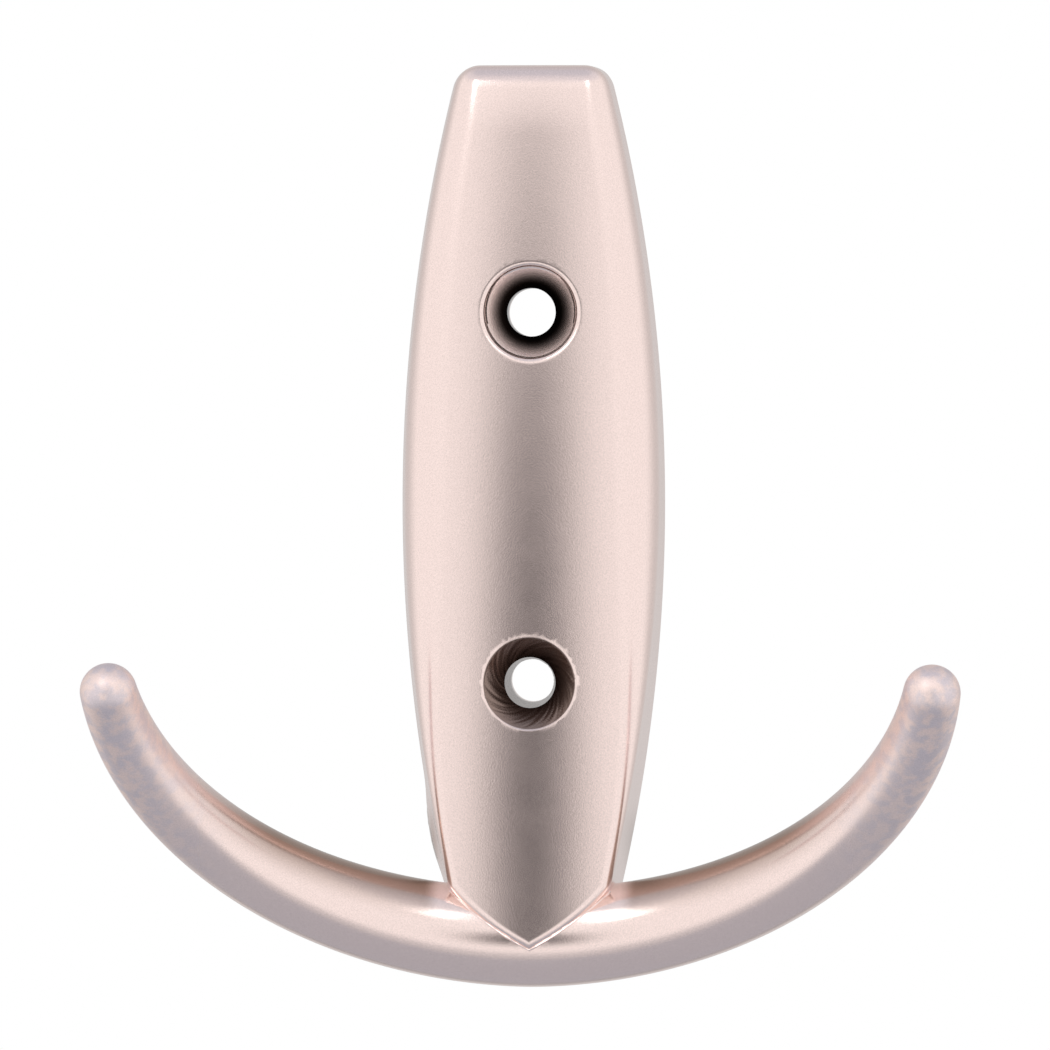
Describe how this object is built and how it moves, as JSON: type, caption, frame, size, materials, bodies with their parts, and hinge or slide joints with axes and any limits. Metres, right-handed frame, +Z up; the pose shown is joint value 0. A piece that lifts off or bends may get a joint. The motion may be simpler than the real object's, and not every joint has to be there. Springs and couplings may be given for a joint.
{
  "type": "coat hook",
  "caption": "Die-cast wall coat hook: an upright barrel-shaped plate with countersunk screw holes and a tapered crescent bar across its foot whose arms rise to rounded tips.",
  "frame": {"origin": "on the wall plane, midway between the two screw holes", "axes": "+X across the width, +Y into the wall, +Z up along the plate; the room is on the -Y side"},
  "size_m": [0.0742, 0.028, 0.08],
  "materials": {
    "satin_nickel": "satin nickel plate on a zinc casting"
  },
  "bodies": {
    "root": {"coat_hook": "satin_nickel"}
  },
  "joints": []
}
